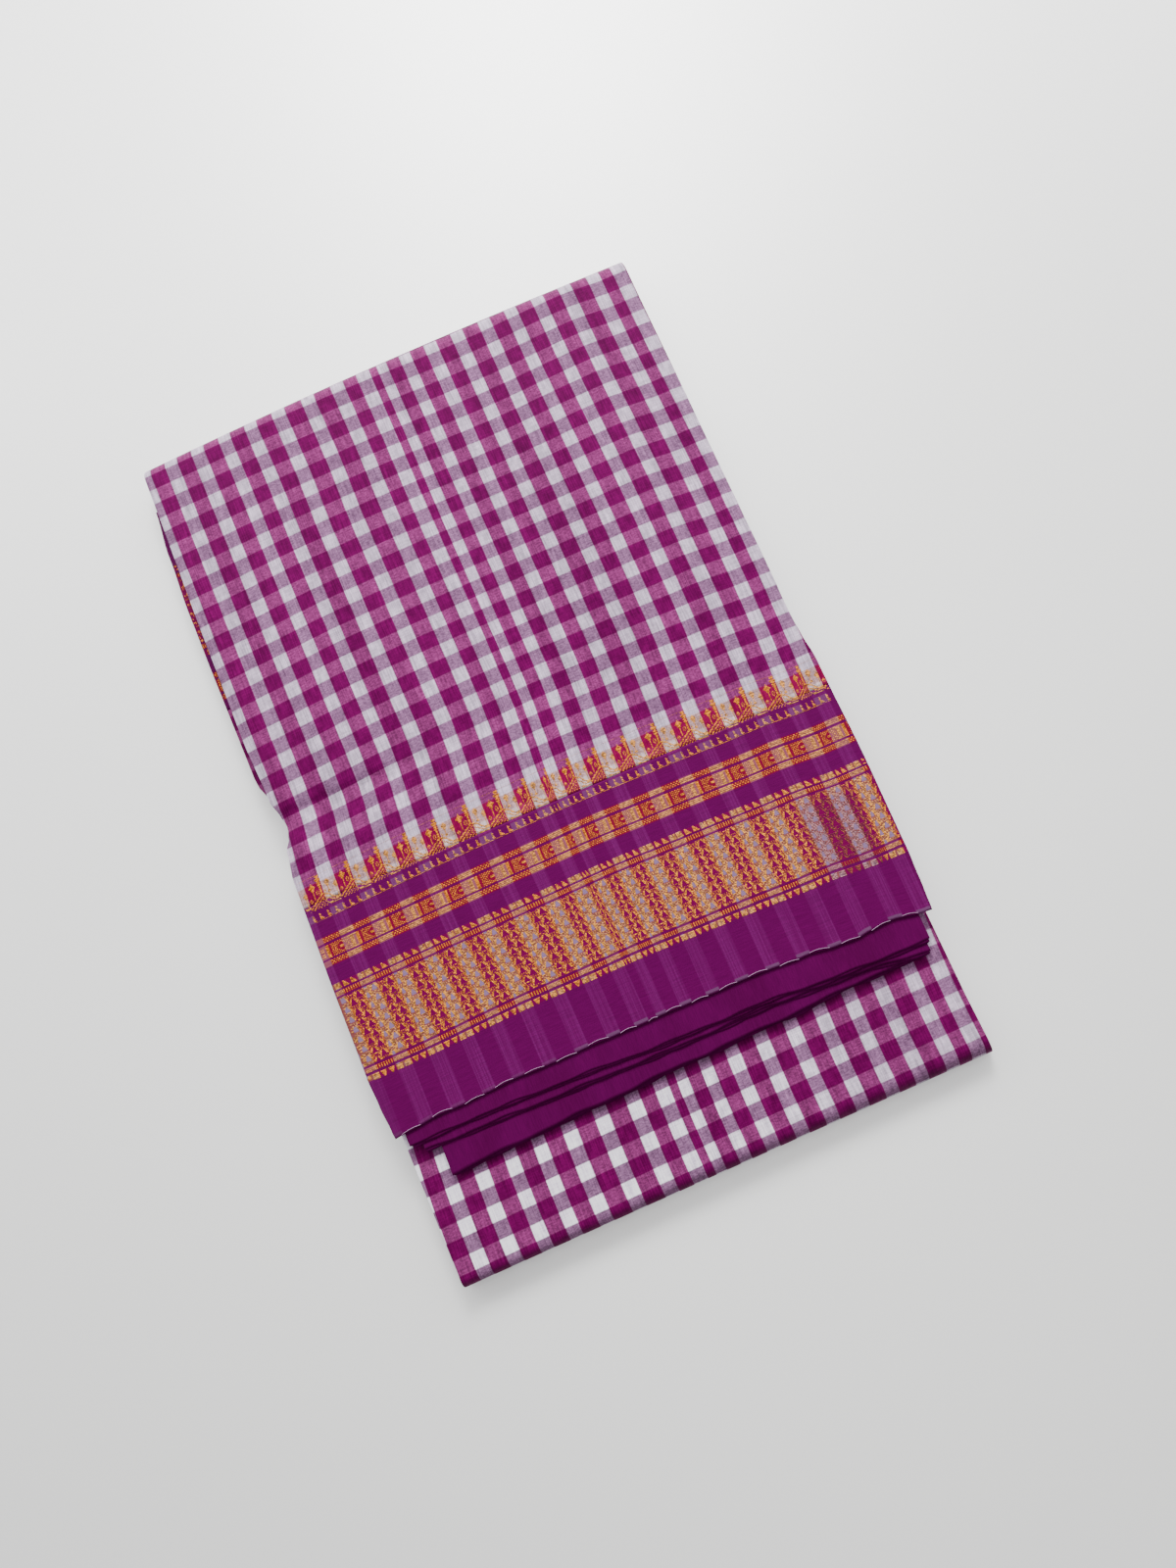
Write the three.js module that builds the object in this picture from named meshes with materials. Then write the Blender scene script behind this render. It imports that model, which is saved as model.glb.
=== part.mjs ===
// Saree folded for the shelf. The long cloth is folded to a strip of 24 layers,
// then the strip is folded in three along the cloth's width like a letter:
// base panel on the table, tucked panel over it from the bottom fold,
// flap over both from the top fold. The border ends the flap.
import * as THREE from 'three';

// Sizes in millimetres
const WALL = 1.0;
const GAP = 0.3;
const HIDDEN = 4.5;
const TOP_RADIUS = 9.0;
const LOW_RADIUS = 5.95;
const TOP_FOLD_Y = 211;
const LOW_FOLD_Y = -202.5;
const FLAP_START_Y = -140.4;
const TUCKED_END_Y = 198.5;
const FLAP_FACE_Z = 2 * TOP_RADIUS;
const TUCKED_FACE_Z = 2 * LOW_RADIUS;

// How far each panel is turned on the table, in radians
const BASE_TURN = THREE.MathUtils.degToRad(0.5);
const TUCKED_TURN = THREE.MathUtils.degToRad(1.7);

// Depths below the outer face
const HIDDEN_TOP = WALL + GAP;
const HIDDEN_END = HIDDEN_TOP + HIDDEN;

// Path of the outer face, from the flap's hem to the tucked hem
const FLAP_LENGTH = TOP_FOLD_Y - FLAP_START_Y;
const TOP_ARC = Math.PI * TOP_RADIUS;
const BASE_LENGTH = TOP_FOLD_Y - LOW_FOLD_Y;
const LOW_ARC = Math.PI * LOW_RADIUS;
const TUCKED_LENGTH = TUCKED_END_Y - LOW_FOLD_Y;
const TOP_START = FLAP_LENGTH;
const BASE_START = TOP_START + TOP_ARC;
const LOW_START = BASE_START + BASE_LENGTH;
const TUCKED_START = LOW_START + LOW_ARC;
const TUCKED_END = TUCKED_START + TUCKED_LENGTH;

// The border is joined to the checked field 112 mm from its hem
const FLAP_JOIN = -24.7 - FLAP_START_Y;
const TUCKED_JOIN = TUCKED_END - 112;

// Sides of the outer cloth, along the path
const FLAP_SIDES = [
  { y: -141, left: -132.2, right: 131.6 },
  { y: -137, left: -132.7, right: 131.9 },
  { y: -124, left: -133.9, right: 132.6 },
  { y: -110, left: -134.8, right: 133.2 },
  { y: -62, left: -135.2, right: 133.6 },
  { y: -12, left: -135.0, right: 132.9 },
  { y: 4, left: -133.2, right: 131.4 },
  { y: 10, left: -130.4, right: 130.9 },
  { y: 16, left: -129.3, right: 130.8 },
  { y: 22, left: -130.6, right: 130.9 },
  { y: 30, left: -132.6, right: 131.1 },
  { y: 66, left: -134.4, right: 130.9 },
  { y: 135, left: -134.9, right: 130.7 },
  { y: 205, left: -134.7, right: 130.4 },
];
const FOLD_SIDES = [
  { s: TOP_START, left: -134.7, right: 130.4 },
  { s: BASE_START, left: -134.0, right: 130.6 },
  { s: LOW_START, left: -132.6, right: 128.4 },
  { s: TUCKED_START, left: -132.2, right: 126.9 },
  { s: TUCKED_END, left: -132.0, right: 126.7 },
];

// Hems that show at the flap's end
const FLAP_HEM = [
  { w: -134, y: -138.6 },
  { w: -127, y: -138.0 },
  { w: -110, y: -136.5 },
  { w: -66, y: -134.9 },
  { w: 0, y: -134.4 },
  { w: 46, y: -133.9 },
  { w: 93, y: -136.0 },
  { w: 132, y: -137.6 },
];
const HEM_A = [
  { w: -128, y: -144.7 },
  { w: -92, y: -144.1 },
  { w: -54, y: -144.9 },
  { w: 5, y: -147.0 },
  { w: 51, y: -147.3 },
  { w: 79, y: -149.4 },
  { w: 126, y: -150.2 },
];
const HEM_B = [
  { w: -122, y: -149.0 },
  { w: -96, y: -149.0 },
  { w: -54, y: -149.7 },
  { w: 5, y: -150.4 },
  { w: 45, y: -149.8 },
  { w: 93, y: -151.5 },
  { w: 122, y: -155.2 },
];
const HEM_C = [
  { w: -115, y: -163.6 },
  { w: -92, y: -162.4 },
  { w: -45, y: -160.5 },
  { w: 5, y: -158.6 },
  { w: 51, y: -157.4 },
  { w: 88, y: -155.6 },
  { w: 122, y: -155.4 },
];
const SIDES_A = { left: -127.4, right: 125.2 };
const SIDES_B = { left: -121.6, right: 123.4 };
const SIDES_C = { left: -114.2, right: 121.8 };
const STEP_JOIN = -124.2 - FLAP_START_Y;

// Soft rises and dips of the flap and of the lower panel
const FLAP_SWELLS = [
  { x: -112, y: 16, wide: 34, tall: 11, rise: -1.5 },
  { x: -30, y: 24, wide: 90, tall: 12, rise: -0.7 },
  { x: -96, y: -4, wide: 40, tall: 13, rise: 0.5 },
  { x: 112, y: 92, wide: 22, tall: 26, rise: -0.8 },
  { x: 118, y: 30, wide: 26, tall: 12, rise: -0.7 },
  { x: 20, y: 110, wide: 80, tall: 70, rise: 0.5 },
  { x: 10, y: -70, wide: 95, tall: 50, rise: 0.4 },
];
const LOW_SWELLS = [
  { x: -60, y: -182, wide: 40, tall: 14, rise: -0.3 },
  { x: 50, y: -184, wide: 60, tall: 12, rise: 0.25 },
];

const along = (table, key, at, value) => {
  if (at <= table[0][key]) {
    return table[0][value];
  }
  for (let i = 1; i < table.length; i += 1) {
    const a = table[i - 1];
    const b = table[i];
    if (at <= b[key]) {
      const t = THREE.MathUtils.smoothstep(at, a[key], b[key]);
      return THREE.MathUtils.lerp(a[value], b[value], t);
    }
  }
  return table[table.length - 1][value];
};

const swell = (list, x, y) =>
  list.reduce((sum, { x: cx, y: cy, wide, tall, rise }) => {
    const far = ((x - cx) / wide) ** 2 + ((y - cy) / tall) ** 2;
    return sum + rise * Math.exp(-far);
  }, 0);

// A side of the outer cloth at a place on the path
const sideOf = (s, side) => {
  if (s < TOP_START) {
    return along(FLAP_SIDES, 'y', FLAP_START_Y + s, side);
  }
  return along(FOLD_SIDES, 's', s, side);
};

// The top fold bows out a little at its middle
const bow = (s, w) => {
  const past = Math.max(TOP_START - s, s - BASE_START, 0);
  const share = 1 - THREE.MathUtils.smoothstep(past, 0, 70);
  return share * 2.6 * (0.35 - (w / 134) ** 2);
};

// Point on the path: s along, w across, depth below the outer face
const place = (s, w, depth) => {
  const give = 1 - Math.max(depth - HIDDEN_TOP, 0) / HIDDEN;
  const edge = Math.min(w - sideOf(s, 'left'), sideOf(s, 'right') - w);
  const roll = 0.7 * Math.exp(-((edge / 3.2) ** 2));
  if (s <= TOP_START) {
    const y = FLAP_START_Y + s + bow(s, w);
    const lift = swell(FLAP_SWELLS, w, y) - roll;
    const flat = 1 - THREE.MathUtils.smoothstep(y, 180, TOP_FOLD_Y);
    return [w, y, FLAP_FACE_Z - depth + lift * give * flat];
  }
  if (s <= BASE_START) {
    const angle = (s - TOP_START) / TOP_RADIUS;
    const turn = BASE_TURN * ((s - TOP_START) / TOP_ARC);
    const r = TOP_RADIUS - depth;
    return [
      w * Math.cos(turn),
      TOP_FOLD_Y + bow(s, w) + w * Math.sin(turn) + r * Math.sin(angle),
      TOP_RADIUS + r * Math.cos(angle),
    ];
  }
  if (s <= LOW_START) {
    const down = s - BASE_START;
    return [
      w * Math.cos(BASE_TURN) + down * Math.sin(BASE_TURN),
      TOP_FOLD_Y + bow(s, w) + w * Math.sin(BASE_TURN) - down,
      depth,
    ];
  }
  const middle = BASE_LENGTH * Math.sin(BASE_TURN);
  if (s <= TUCKED_START) {
    const share = (s - LOW_START) / LOW_ARC;
    const turn = THREE.MathUtils.lerp(BASE_TURN, TUCKED_TURN, share);
    const r = LOW_RADIUS - depth;
    return [
      middle + w * Math.cos(turn),
      LOW_FOLD_Y + w * Math.sin(turn) - r * Math.sin(Math.PI * share),
      LOW_RADIUS - r * Math.cos(Math.PI * share),
    ];
  }
  const up = s - TUCKED_START;
  const x = middle + w * Math.cos(TUCKED_TURN) - up * Math.sin(TUCKED_TURN);
  const y = LOW_FOLD_Y + w * Math.sin(TUCKED_TURN) + up;
  const start = THREE.MathUtils.smoothstep(y, LOW_FOLD_Y, LOW_FOLD_Y + 12);
  const lift = swell(LOW_SWELLS, x, y) * start * give;
  return [x, y, TUCKED_FACE_Z - depth + lift];
};

// Places across a face, closer together where its sides roll over
const EDGE_STEPS = [0, 1.5, 3.2, 5.4, 8.5];
const spots = (left, right, count) => {
  const inner = count - 2 * EDGE_STEPS.length;
  if (inner < 1) {
    const even = Array.from({ length: count }, (_, i) => i / count);
    return even.map((t) => THREE.MathUtils.lerp(left, right, t));
  }
  const reach = EDGE_STEPS[EDGE_STEPS.length - 1];
  const middle = Array.from({ length: inner }, (_, i) => (i + 1) / (inner + 1));
  return [
    ...EDGE_STEPS.map((step) => left + step),
    ...middle.map((t) => THREE.MathUtils.lerp(left + reach, right - reach, t)),
    ...EDGE_STEPS.slice(1).reverse().map((step) => right - step),
  ];
};

// Outline of a piece across the path: outer face, right lips, inner face, left lips.
// Each lip is a half round, or all of them make one where the piece ends.
const LIP_STEPS = 4;
const outline = ({ left, right, top, bottom, lips, across, under, end }) => {
  const points = [];
  const tall = (bottom - top) / lips.length;
  const onSide = (edge, sign, i, j) => {
    if (end) {
      const turn = (Math.PI * (i * LIP_STEPS + j)) / (lips.length * LIP_STEPS);
      const depth = top + ((bottom - top) * (1 - Math.cos(turn))) / 2;
      return [edge + (sign * tall * (Math.sin(turn) - 1)) / 2, depth];
    }
    const turn = (Math.PI * j) / LIP_STEPS;
    const slip = j > 0 && j < LIP_STEPS ? lips[i] : 0;
    const depth = top + tall * (i + (1 - Math.cos(turn)) / 2);
    return [edge + sign * (slip + (tall * (Math.sin(turn) - 1)) / 2), depth];
  };
  for (const w of spots(left + tall / 2, right - tall / 2, across)) {
    points.push([w, top]);
  }
  for (let i = 0; i < lips.length; i += 1) {
    for (let j = 0; j < LIP_STEPS; j += 1) {
      points.push(onSide(right, 1, i, j));
    }
  }
  for (const w of spots(left + tall / 2, right - tall / 2, under)) {
    points.push([left + right - w, bottom]);
  }
  for (let i = lips.length - 1; i >= 0; i -= 1) {
    for (let j = LIP_STEPS; j > 0; j -= 1) {
      points.push(onSide(left, -1, i, j));
    }
  }
  return points;
};

// Triangles over one end: a strip between the outer and the inner face
const capFaces = (section) => {
  const n = section.length;
  let low = 0;
  let high = 0;
  section.forEach(({ w }, i) => {
    low = w < section[low].w ? i : low;
    high = w > section[high].w ? i : high;
  });
  const chain = (step) => {
    const list = [low];
    while (list[list.length - 1] !== high) {
      list.push((list[list.length - 1] + step + n) % n);
    }
    return list;
  };
  const outer = chain(1);
  const inner = chain(-1);
  const faces = [];
  let i = 0;
  let j = 0;
  while (i + 1 < outer.length || j + 1 < inner.length) {
    const nextOuter = i + 1 < outer.length ? section[outer[i + 1]].w : Infinity;
    const nextInner = j + 1 < inner.length ? section[inner[j + 1]].w : Infinity;
    if (nextOuter <= nextInner) {
      faces.push([outer[i], outer[i + 1], inner[j]]);
      i += 1;
    } else {
      faces.push([outer[i], inner[j + 1], inner[j]]);
      j += 1;
    }
  }
  return faces.filter(([a, b, c]) => a !== b && b !== c && a !== c);
};

const group = new THREE.Group();

// A closed piece from sections along the path
const sweep = (name, colour, sections) => {
  const count = sections[0].length;
  const positions = [];
  for (const section of sections) {
    for (const { s, w, depth } of section) {
      positions.push(...place(s, w, depth));
    }
  }
  const faces = [];
  for (let row = 0; row + 1 < sections.length; row += 1) {
    for (let i = 0; i < count; i += 1) {
      const a = row * count + i;
      const b = row * count + ((i + 1) % count);
      faces.push([a, b, b + count], [a, b + count, a + count]);
    }
  }
  const cap = (section, base, flip) => {
    for (const [a, b, c] of capFaces(section)) {
      faces.push(flip ? [base + a, base + c, base + b] : [base + a, base + b, base + c]);
    }
  };
  cap(sections[0], 0, true);
  cap(sections[sections.length - 1], (sections.length - 1) * count, false);
  const point = (i) => new THREE.Vector3(...positions.slice(3 * i, 3 * i + 3));
  let volume = 0;
  for (const [a, b, c] of faces) {
    volume += point(a).dot(point(b).clone().cross(point(c)));
  }
  const out = volume > 0 ? faces : faces.map(([a, b, c]) => [a, c, b]);
  const geometry = new THREE.BufferGeometry();
  geometry.setAttribute('position', new THREE.Float32BufferAttribute(positions, 3));
  geometry.setIndex(out.flat());
  geometry.computeVertexNormals();
  const material = new THREE.MeshStandardMaterial({ color: colour, roughness: 0.75 });
  const mesh = new THREE.Mesh(geometry, material);
  mesh.name = name;
  group.add(mesh);
};

// Places along the path, shared by all pieces, closer together round the folds
const STRETCHES = [
  { from: 0, to: TOP_START, step: 10 },
  { from: TOP_START, to: BASE_START, step: 2.6 },
  { from: BASE_START, to: LOW_START, step: 42 },
  { from: LOW_START, to: TUCKED_START, step: 2.3 },
  { from: TUCKED_START, to: TUCKED_START + 72, step: 12 },
  { from: TUCKED_START + 72, to: TUCKED_END, step: 48 },
];
const stops = (from, to) => {
  const list = [from];
  for (const stretch of STRETCHES) {
    const n = Math.round((stretch.to - stretch.from) / stretch.step);
    for (let j = 0; j < n; j += 1) {
      const s = THREE.MathUtils.lerp(stretch.from, stretch.to, j / n);
      if (s > from + 1 && s < to - 1) {
        list.push(s);
      }
    }
  }
  return [...list, to];
};

const sectionAt = (s, shape) =>
  outline(shape).map(([w, depth]) => ({ s, w, depth }));

// The outer cloth, one wall for each stretch that shows
const outerWall = (name, colour, from, to, across) => {
  const sections = stops(from, to).map((s) =>
    sectionAt(s, {
      left: sideOf(s, 'left'),
      right: sideOf(s, 'right'),
      top: 0,
      bottom: WALL,
      lips: [0],
      across,
      under: across,
    }),
  );
  sweep(name, colour, sections);
};

// A stretch of flap that ends at a hem, drawn across by its table
const hemmedWall = (name, colour, hem, start, sides, top, bottom, rows) => {
  const sections = [];
  for (let i = 0; i <= rows; i += 1) {
    const s = THREE.MathUtils.lerp(0, start, i / rows);
    const left = sides ? sides.left : sideOf(s, 'left');
    const right = sides ? sides.right : sideOf(s, 'right');
    const shape = { left, right, top, bottom, lips: [0], across: 20, under: 20 };
    const section = outline(shape).map(([w, depth]) => {
      const edge = along(hem, 'w', w, 'y') - FLAP_START_Y;
      return { s: THREE.MathUtils.lerp(edge, start, i / rows), w, depth };
    });
    sections.push(section);
  }
  sweep(name, colour, sections);
};

outerWall('front_field', 0xb184b4, FLAP_JOIN + GAP / 2, BASE_START + 12, 20);
hemmedWall('front_border', 0x8a1a70, FLAP_HEM, FLAP_JOIN - GAP / 2, null, 0, WALL, 12);
outerWall('back_field', 0xb184b4, BASE_START + 12 + GAP, LOW_START - 12 - GAP, 10);
outerWall('lower_field', 0xb184b4, LOW_START - 12, TUCKED_JOIN - GAP / 2, 20);
outerWall('tucked_border', 0x6e0f58, TUCKED_JOIN + GAP / 2, TUCKED_END, 10);

// Plain inner layers that step out below the flap's hem
const STEP = (HIDDEN - 2 * GAP) / 3;
const STEP_A = HIDDEN_TOP;
const STEP_B = STEP_A + STEP + GAP;
const STEP_C = STEP_B + STEP + GAP;
hemmedWall('inner_layer_a', 0x5c0a4c, HEM_A, STEP_JOIN, SIDES_A, STEP_A, STEP_A + STEP, 4);
hemmedWall('inner_layer_b', 0x56094a, HEM_B, STEP_JOIN, SIDES_B, STEP_B, STEP_B + STEP, 4);
hemmedWall('inner_layer_c', 0x5c0a4c, HEM_C, STEP_JOIN, SIDES_C, STEP_C, HIDDEN_END, 5);

// Hidden layers of all three panels: one ribbon along the path, lipped at its sides
const LIPS_LEFT_INSET = 0.7;
const LIPS_RIGHT_INSET = 0.4;
const STEP_INSET = 4.8;
const hiddenStops = stops(STEP_JOIN + GAP, TUCKED_END - 1.5);
const hiddenSections = hiddenStops.map((s, i) => {
  const near = 1 - THREE.MathUtils.smoothstep(s, STEP_JOIN, STEP_JOIN + 34);
  const slip = 0.25 * Math.sin(0.9 * i);
  return sectionAt(s, {
    left: sideOf(s, 'left') + LIPS_LEFT_INSET + STEP_INSET * near,
    right: sideOf(s, 'right') - LIPS_RIGHT_INSET - STEP_INSET * near,
    top: HIDDEN_TOP,
    bottom: HIDDEN_END,
    lips: [-0.1, slip, -0.3 - slip / 2],
    across: 20,
    under: 6,
    end: i === 0 || i === hiddenStops.length - 1,
  });
});
sweep('hidden_layers', 0x7d2468, hiddenSections);

// Centre of the bundle's box on the origin, underside on the table
const box = new THREE.Box3().setFromObject(group);
const centre = box.getCenter(new THREE.Vector3());
for (const mesh of group.children) {
  mesh.geometry.translate(-centre.x, -centre.y, -box.min.z);
}

export default group;
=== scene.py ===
import math

import bmesh
import bpy
import numpy as np
from mathutils import Matrix, Vector


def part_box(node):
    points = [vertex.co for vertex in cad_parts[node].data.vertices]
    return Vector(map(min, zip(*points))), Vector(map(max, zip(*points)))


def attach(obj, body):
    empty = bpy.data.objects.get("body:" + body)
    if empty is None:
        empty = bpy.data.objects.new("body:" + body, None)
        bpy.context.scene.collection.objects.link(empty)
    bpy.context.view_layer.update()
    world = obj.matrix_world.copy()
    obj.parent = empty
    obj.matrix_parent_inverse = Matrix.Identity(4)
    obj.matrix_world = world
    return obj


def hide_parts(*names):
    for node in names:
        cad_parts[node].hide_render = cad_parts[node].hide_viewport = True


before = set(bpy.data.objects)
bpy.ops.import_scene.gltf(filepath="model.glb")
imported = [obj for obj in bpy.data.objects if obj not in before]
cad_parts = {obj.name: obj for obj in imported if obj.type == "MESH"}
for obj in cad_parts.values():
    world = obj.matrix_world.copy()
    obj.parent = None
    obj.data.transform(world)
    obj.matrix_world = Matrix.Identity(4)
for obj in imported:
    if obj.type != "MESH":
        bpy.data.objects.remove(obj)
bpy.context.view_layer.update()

# The folded saree lies flat on a table and is seen from above, over its lower half,
# through a phone's normal lens. All sizes below are in millimetres; MM turns them to metres.
# Places are counted from the middle of the flap, which the frame's border and top fold give.
MM = 0.001
FLAP_REACH = 133.6
FOLD_REACH = 220.9
MIDDLE_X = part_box("front_border")[1][0] / MM - FLAP_REACH
MIDDLE_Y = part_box("front_field")[1][1] / MM - FOLD_REACH
CAMERA_SPOT = Vector((20.4 + MIDDLE_X, -122.2 + MIDDLE_Y, 559.4))
CAMERA_LOOK = Vector((-0.0166, 0.1795, -0.9836)).normalized()
CAMERA_UP = Vector((0.3947, 0.905, 0.1585))

camera = bpy.data.objects.new("camera", bpy.data.cameras.new("camera"))
bpy.context.scene.collection.objects.link(camera)
camera.data.lens = 27.0
camera.data.sensor_width = 36.0
camera.data.clip_start = 0.01
right = CAMERA_LOOK.cross(CAMERA_UP).normalized()
above = right.cross(CAMERA_LOOK)
turn = Matrix((right, above, -CAMERA_LOOK)).transposed().to_4x4()
camera.matrix_world = Matrix.Translation(CAMERA_SPOT * MM) @ turn
bpy.context.scene.camera = camera


# Studio: a pale table with a coated laminate top, soft lamps behind, beside and above the
# bundle, and a pale room. None of it belongs to the saree.
def to_linear(colour):
    """An sRGB hex colour as linear RGBA."""
    parts = [int(colour[i : i + 2], 16) / 255 for i in (1, 3, 5)]
    return [p / 12.92 if p <= 0.04045 else ((p + 0.055) / 1.055) ** 2.4 for p in parts] + [1.0]


def node(tree, kind, *inputs, **settings):
    """Adds a node and gives its output.

    Inputs are links, numbers or hex colours, in the order of the sockets in use, or one
    dictionary of them by name. Settings are the node's properties.
    """
    made = tree.nodes.new("ShaderNode" + kind)
    for name, value in settings.items():
        setattr(made, name, value)
    if inputs and isinstance(inputs[0], dict):
        pairs = [(made.inputs[name], value) for name, value in inputs[0].items()]
    else:
        pairs = zip([socket for socket in made.inputs if socket.enabled], inputs)
    for socket, value in pairs:
        if isinstance(value, bpy.types.NodeSocket):
            tree.links.new(value, socket)
        else:
            socket.default_value = to_linear(value) if isinstance(value, str) else value
    outputs = [socket for socket in made.outputs if socket.enabled]
    return outputs[0] if outputs else made


def new_material(name):
    """An empty material and its node tree."""
    material = bpy.data.materials.new(name)
    material.use_nodes = True
    material.node_tree.nodes.clear()
    return material, material.node_tree


TABLE = "#e4e4e2"
TABLE_HALF_SIZE = 3.0
TABLE_GAP = 0.0003
table_mesh = bpy.data.meshes.new("table")
table_bm = bmesh.new()
bmesh.ops.create_grid(table_bm, x_segments=1, y_segments=1, size=TABLE_HALF_SIZE)
table_bm.to_mesh(table_mesh)
table_bm.free()
table = bpy.data.objects.new("table", table_mesh)
bpy.context.scene.collection.objects.link(table)
table.location.z = -TABLE_GAP
# Melamine laminate under a satin coat, which mirrors the far lamps as a broad bright haze
laminate, tree = new_material("matt_laminate")
looks = {
    "Base Color": TABLE,
    "Roughness": 0.6,
    "Coat Weight": 1.0,
    "Coat Roughness": 0.45,
    "Coat IOR": 3.0,
}
node(tree, "OutputMaterial", {"Surface": node(tree, "BsdfPrincipled", looks)})
table_mesh.materials.append(laminate)


def soft_lamp(name, spot, aim, size, watts, colour):
    """A rectangular lamp that is turned to a place on the table."""
    lamp = bpy.data.objects.new(name, bpy.data.lights.new(name, "AREA"))
    lamp.data.shape = "RECTANGLE"
    lamp.data.size, lamp.data.size_y = size
    lamp.data.energy = watts
    lamp.data.color = to_linear(colour)[:3]
    lamp.location = spot
    lamp.rotation_euler = (Vector(aim) - Vector(spot)).to_track_quat("-Z", "Y").to_euler()
    bpy.context.scene.collection.objects.link(lamp)


# name, place and aim in metres, size in metres, watts, colour
LAMPS = [
    ("ceiling_panel", (0.45, 1.5, 1.2), (0.1, 0.2, 0), (0.7, 0.5), 44.0, "#ffffff"),
    ("back_wall", (0.1, 2.0, 1.5), (0.0, 0.2, 0), (3.4, 1.3), 80.0, "#ffffff"),
    ("window_fill", (-1.5, 1.0, 0.9), (-0.1, 0.1, 0), (1.4, 0.9), 15.0, "#fbfcff"),
    ("right_wall", (1.6, 1.0, 0.9), (0.1, 0.1, 0), (1.4, 0.9), 20.0, "#ffffff"),
    ("overhead", (0.1, 0.1, 1.5), (0, 0, 0), (1.8, 1.8), 18.0, "#ffffff"),
]
for lamp_row in LAMPS:
    soft_lamp(*lamp_row)
room = bpy.data.worlds.new("room")
room.use_nodes = True
room.node_tree.nodes["Background"].inputs[0].default_value = to_linear("#f2f2f4")
room.node_tree.nodes["Background"].inputs[1].default_value = 0.3
bpy.context.scene.world = room


# The path of the outer cloth: from the flap's hem over the top fold, along the table and
# round the bottom fold to the tucked hem. Every sheet below is laid along it, some way
# under the outer face. It has the same folds, turns and swells as the solids in the frame.
TOP_RADIUS = 9.0
LOW_RADIUS = 5.95
TOP_FOLD_Y = 211.0
LOW_FOLD_Y = -202.5
FLAP_START_Y = -140.4
TUCKED_END_Y = 198.5
BASE_TURN = math.radians(0.5)
TUCKED_TURN = math.radians(1.7)
HIDDEN_TOP = 1.3
HIDDEN = 4.5
TOP_START = TOP_FOLD_Y - FLAP_START_Y
BASE_START = TOP_START + math.pi * TOP_RADIUS
LOW_START = BASE_START + TOP_FOLD_Y - LOW_FOLD_Y
TUCKED_START = LOW_START + math.pi * LOW_RADIUS
TUCKED_END = TUCKED_START + TUCKED_END_Y - LOW_FOLD_Y
FLAP_JOIN = -24.7 - FLAP_START_Y
STEP_JOIN = -124.2 - FLAP_START_Y
TUCKED_JOIN = TUCKED_END - 112.0
HALF_WIDTH = 134
BOW = 2.6
BOW_FADE = 70
EDGE_DROP = 0.7
EDGE_WIDE = 3.2
PRESSED_Y = 180
JOIN_GAP = 0.05
PAST_FOLD = 12
SHOWN_LOW = 80

# y, left and right side of the flap
FLAP_SIDES = [
    (-141, -132.2, 131.6),
    (-137, -132.7, 131.9),
    (-124, -133.9, 132.6),
    (-110, -134.8, 133.2),
    (-62, -135.2, 133.6),
    (-12, -135.0, 132.9),
    (4, -133.2, 131.4),
    (10, -130.4, 130.9),
    (16, -129.3, 130.8),
    (22, -130.6, 130.9),
    (30, -132.6, 131.1),
    (66, -134.4, 130.9),
    (135, -134.9, 130.7),
    (205, -134.7, 130.4),
]
# place along the path, left and right side round the folds
FOLD_SIDES = [
    (TOP_START, -134.7, 130.4),
    (BASE_START, -134.0, 130.6),
    (BASE_START + 168, -133.6, 130.0),
    (BASE_START + 186, -129.6, 129.8),
    (BASE_START + 202, -129.2, 129.6),
    (BASE_START + 222, -133.2, 129.4),
    (LOW_START, -132.6, 128.4),
    (TUCKED_START, -132.2, 126.9),
    (TUCKED_START + 194, -132.1, 126.8),
    (TUCKED_START + 212, -126.4, 126.8),
    (TUCKED_START + 228, -126.4, 126.8),
    (TUCKED_START + 250, -133.2, 126.8),
    (TUCKED_START + 303, -133.0, 126.8),
    (TUCKED_START + 343, -132.6, 126.8),
    (TUCKED_START + 376, -131.1, 126.7),
    (TUCKED_END, -128.8, 126.7),
]
# x, y, half width, half height and rise of each swell or dip of the flap; a dip's is negative
FLAP_SWELLS = [
    (-112, 16, 34, 11, -1.5),
    (-30, 24, 90, 12, -0.7),
    (-96, -4, 40, 13, 0.5),
    (112, 92, 22, 26, -0.8),
    (118, 30, 26, 12, -0.7),
    (20, 110, 80, 70, 0.5),
    (10, -70, 95, 50, 0.4),
]


def smooth(t):
    """0 to 1 with an easy start and end."""
    t = np.clip(t, 0, 1)
    return t * t * (3 - 2 * t)


def eased(at, rows, column):
    """A table's column at a place, eased between its rows."""
    rows = np.array(rows, dtype=float)
    i = np.clip(np.searchsorted(rows[:, 0], at) - 1, 0, len(rows) - 2)
    t = smooth((at - rows[i, 0]) / (rows[i + 1, 0] - rows[i, 0]))
    return rows[i, column] * (1 - t) + rows[i + 1, column] * t


def side_of(s, column):
    """The left (1) or right (2) side of the outer cloth at a place along the path."""
    s = np.asarray(s, dtype=float)
    return np.where(
        s < TOP_START, eased(FLAP_START_Y + s, FLAP_SIDES, column), eased(s, FOLD_SIDES, column)
    )


def bow(s, w):
    """How far the top fold and the cloth beside it bow out at the middle of the width."""
    past = np.maximum(np.maximum(TOP_START - s, s - BASE_START), 0)
    return (1 - smooth(past / BOW_FADE)) * BOW * (0.35 - (w / HALF_WIDTH) ** 2)


def fine_relief(x, y):
    """Small rises of a folded cloth that no iron has flattened fully."""
    long_waves = 0.16 * np.sin(x / 23 + 1.3 * np.sin(y / 41)) * np.sin(y / 57 + 0.8)
    short_waves = 0.07 * np.sin(x / 9.1 + y / 31 + 2.0 * np.sin(y / 19))
    return long_waves + short_waves


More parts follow.
